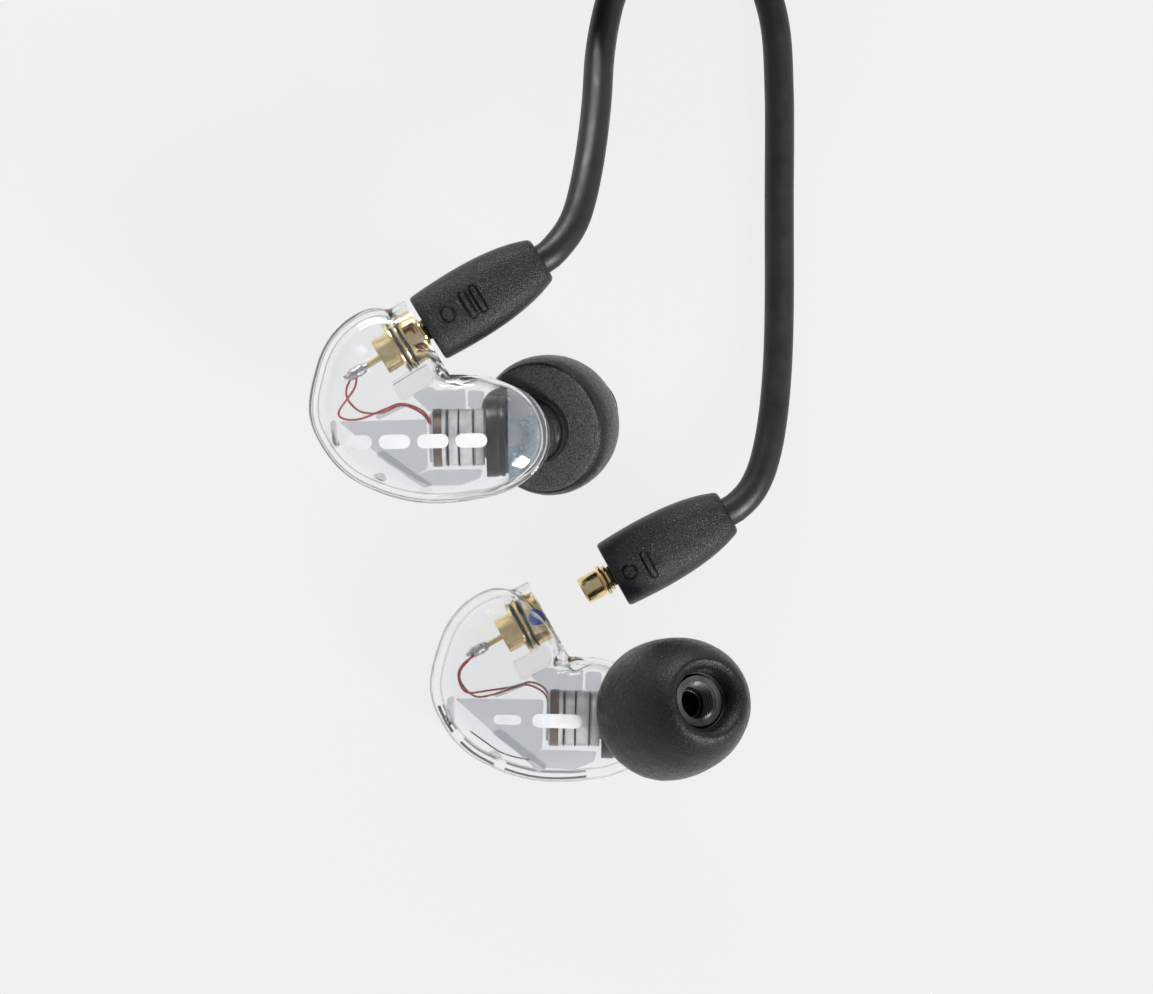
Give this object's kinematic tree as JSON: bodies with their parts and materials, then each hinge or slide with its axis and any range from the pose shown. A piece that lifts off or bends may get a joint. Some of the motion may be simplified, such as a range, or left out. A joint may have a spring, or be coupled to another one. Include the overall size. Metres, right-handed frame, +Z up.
{
  "type": "in ear monitors",
  "caption": "Clear in ear monitors with foam sleeves on a detachable snap-connector cable, which is coiled and has a slider, a splitter and a jack plug.",
  "frame": {"origin": "bottom centre of the box round both monitors and their cable connectors, on the surface they lie on", "axes": "+Z up from the surface, +Y along the cable legs away from the monitors, +X to the unplugged monitor's side"},
  "size_m": [0.0656, 0.1344, 0.0206],
  "materials": {
    "boot_rubber": "matte moulded, fine grain",
    "cord_rubber": "satin sheath",
    "sleeve_foam": "matte fine-cell foam",
    "clear_shell": "clear polished plastic",
    "gold_plate": "polished gold plate",
    "white_insulator": "matte",
    "solder_tin": "bright solder",
    "driver_steel": "satin",
    "black_plastic": "matte",
    "grey_plastic": "satin",
    "diaphragm_film": "thin film",
    "red_enamel": "enamelled wire",
    "red_mark": "paint",
    "blue_mark": "paint"
  },
  "bodies": {
    "cable": {"right_connector_boot": "boot_rubber", "right_plug_barrel": "gold_plate", "right_plug_pin": "gold_plate", "right_leg_cord": "cord_rubber", "right_leg_coil": "cord_rubber", "right_leg_tail": "cord_rubber", "left_connector_boot": "boot_rubber", "left_plug_barrel": "gold_plate", "left_plug_pin": "gold_plate", "left_leg_cord": "cord_rubber", "left_leg_coil": "cord_rubber", "left_leg_tail": "cord_rubber", "y_splitter": "boot_rubber", "main_cable_start": "cord_rubber", "main_cable_coil": "cord_rubber", "main_cable_end": "cord_rubber", "jack_handle": "boot_rubber", "jack_sleeve_contact": "gold_plate", "jack_ring_and_tip": "gold_plate"},
    "slider": {"cinch_slider": "black_plastic"},
    "right_swivel_ring": {"right_snap_ring": "gold_plate"},
    "right_monitor": {"right_outer_shell": "clear_shell", "right_inner_shell": "clear_shell", "right_inner_frame": "clear_shell", "right_socket_barrel": "gold_plate", "right_socket_insulator": "white_insulator", "right_socket_contact": "gold_plate", "right_solder_joint": "solder_tin", "right_color_dot": "red_mark", "right_driver_cup": "driver_steel", "right_driver_magnet": "driver_steel", "right_driver_basket": "black_plastic", "right_lead_wire_plus": "red_enamel", "right_lead_wire_minus": "red_enamel", "right_nozzle_stem": "grey_plastic", "right_nozzle_damper": "white_insulator"},
    "right_sleeve": {"right_sleeve_core": "grey_plastic", "right_foam_sleeve": "sleeve_foam"},
    "right_diaphragm": {"right_diaphragm": "diaphragm_film"},
    "left_swivel_ring": {"left_snap_ring": "gold_plate"},
    "left_monitor": {"left_outer_shell": "clear_shell", "left_inner_shell": "clear_shell", "left_inner_frame": "clear_shell", "left_socket_barrel": "gold_plate", "left_socket_insulator": "white_insulator", "left_socket_contact": "gold_plate", "left_solder_joint": "solder_tin", "left_color_dot": "blue_mark", "left_driver_cup": "driver_steel", "left_driver_magnet": "driver_steel", "left_driver_basket": "black_plastic", "left_lead_wire_plus": "red_enamel", "left_lead_wire_minus": "red_enamel", "left_nozzle_stem": "grey_plastic", "left_nozzle_damper": "white_insulator"},
    "left_sleeve": {"left_sleeve_core": "grey_plastic", "left_foam_sleeve": "sleeve_foam"},
    "left_diaphragm": {"left_diaphragm": "diaphragm_film"}
  },
  "joints": [
    {"name": "right_connector_swivel", "type": "hinge", "parent": "cable", "child": "right_swivel_ring", "pos_m": [-0.00976, 0.01679, 0.01669], "axis": [0.8526, 0.5225, 0], "continuous": true},
    {"name": "right_connector_pull", "type": "slide", "parent": "right_swivel_ring", "child": "right_monitor", "axis": [-0.8526, -0.5225, 0], "range_m": [0, 0.0068]},
    {"name": "left_connector_swivel", "type": "hinge", "parent": "cable", "child": "left_swivel_ring", "pos_m": [0.00134, -0.00925, 0.0039], "axis": [-0.8746, -0.4848, 0], "range_deg": [0, 60]},
    {"name": "left_connector_push", "type": "slide", "parent": "left_swivel_ring", "child": "left_monitor", "axis": [0.8746, 0.4848, 0], "range_m": [0, 0.0068]},
    {"name": "right_sleeve_pull", "type": "slide", "parent": "right_monitor", "child": "right_sleeve", "axis": [0.4179, 0.1774, -0.891], "range_m": [0, 0.009]},
    {"name": "left_sleeve_pull", "type": "slide", "parent": "left_monitor", "child": "left_sleeve", "axis": [0.4252, 0.159, 0.891], "range_m": [0, 0.009]},
    {"name": "right_diaphragm_travel", "type": "slide", "parent": "right_monitor", "child": "right_diaphragm", "axis": [0.9998, 0.0175, 0], "range_m": [-0.0001, 0.0001]},
    {"name": "left_diaphragm_travel", "type": "slide", "parent": "left_monitor", "child": "left_diaphragm", "axis": [0.9997, -0.0262, 0], "range_m": [-0.0001, 0.0001]},
    {"name": "cinch_slider_travel", "type": "slide", "parent": "cable", "child": "slider", "axis": [1, 0, 0], "range_m": [0, 0.006]}
  ]
}
